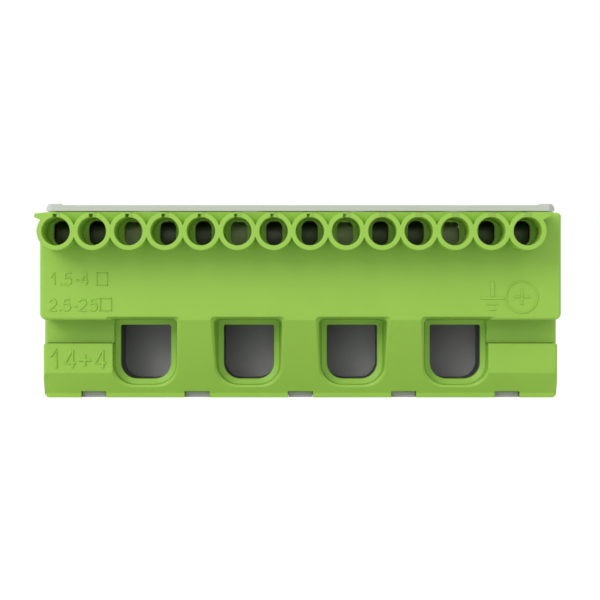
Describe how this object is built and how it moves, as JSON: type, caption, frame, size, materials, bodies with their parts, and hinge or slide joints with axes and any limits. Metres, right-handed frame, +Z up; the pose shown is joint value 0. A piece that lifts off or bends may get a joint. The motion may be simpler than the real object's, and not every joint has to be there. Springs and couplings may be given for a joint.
{
  "type": "earth terminal bar",
  "caption": "Earth terminal bar with a row of push-in wire entries above screw-clamp windows, in a two-part moulded enclosure with a common busbar.",
  "frame": {"origin": "centre of the base, at the middle of the bar's length and depth", "axes": "+X along the bar, to the right seen from the wire side; +Y into the bar from the wire side; +Z up, towards the screws"},
  "size_m": [0.1058, 0.0306, 0.0401],
  "materials": {
    "green_plastic": "satin moulded polyamide",
    "grey_plastic": "satin moulded polyamide",
    "tinned_copper": "tin-plated copper",
    "spring_steel": "rolled stainless strip",
    "zinc_steel": "zinc-plated steel",
    "screw_steel": "bright zinc-plated screw"
  },
  "bodies": {
    "enclosure": {"front_housing": "green_plastic", "rear_cover": "grey_plastic", "busbar": "tinned_copper", "push_spring_01": "spring_steel", "push_spring_02": "spring_steel", "push_spring_03": "spring_steel", "push_spring_04": "spring_steel", "push_spring_05": "spring_steel", "push_spring_06": "spring_steel", "push_spring_07": "spring_steel", "push_spring_08": "spring_steel", "push_spring_09": "spring_steel", "push_spring_10": "spring_steel", "push_spring_11": "spring_steel", "push_spring_12": "spring_steel", "push_spring_13": "spring_steel", "push_spring_14": "spring_steel"},
    "screw_1": {"clamp_screw_1": "screw_steel"},
    "cage_1": {"clamp_cage_1": "zinc_steel"},
    "screw_2": {"clamp_screw_2": "screw_steel"},
    "cage_2": {"clamp_cage_2": "zinc_steel"},
    "screw_3": {"clamp_screw_3": "screw_steel"},
    "cage_3": {"clamp_cage_3": "zinc_steel"},
    "screw_4": {"clamp_screw_4": "screw_steel"},
    "cage_4": {"clamp_cage_4": "zinc_steel"}
  },
  "joints": [
    {"name": "screw_turn_1", "type": "hinge", "parent": "enclosure", "child": "screw_1", "pos_m": [-0.03207, 0.00775, 0.034], "axis": [0, 0, -1], "range_deg": [0, 3960]},
    {"name": "cage_lift_1", "type": "slide", "parent": "enclosure", "child": "cage_1", "axis": [0, 0, 1], "range_m": [0, 0.011]},
    {"name": "screw_turn_2", "type": "hinge", "parent": "enclosure", "child": "screw_2", "pos_m": [-0.01069, 0.00775, 0.034], "axis": [0, 0, -1], "range_deg": [0, 3960]},
    {"name": "cage_lift_2", "type": "slide", "parent": "enclosure", "child": "cage_2", "axis": [0, 0, 1], "range_m": [0, 0.011]},
    {"name": "screw_turn_3", "type": "hinge", "parent": "enclosure", "child": "screw_3", "pos_m": [0.01069, 0.00775, 0.034], "axis": [0, 0, -1], "range_deg": [0, 3960]},
    {"name": "cage_lift_3", "type": "slide", "parent": "enclosure", "child": "cage_3", "axis": [0, 0, 1], "range_m": [0, 0.011]},
    {"name": "screw_turn_4", "type": "hinge", "parent": "enclosure", "child": "screw_4", "pos_m": [0.03207, 0.00775, 0.034], "axis": [0, 0, -1], "range_deg": [0, 3960]},
    {"name": "cage_lift_4", "type": "slide", "parent": "enclosure", "child": "cage_4", "axis": [0, 0, 1], "range_m": [0, 0.011]}
  ],
  "couplings": [
    {"joint": "screw_turn_1", "follows": "cage_lift_1", "rad_per_m": 6283.2},
    {"joint": "screw_turn_2", "follows": "cage_lift_2", "rad_per_m": 6283.2},
    {"joint": "screw_turn_3", "follows": "cage_lift_3", "rad_per_m": 6283.2},
    {"joint": "screw_turn_4", "follows": "cage_lift_4", "rad_per_m": 6283.2}
  ]
}
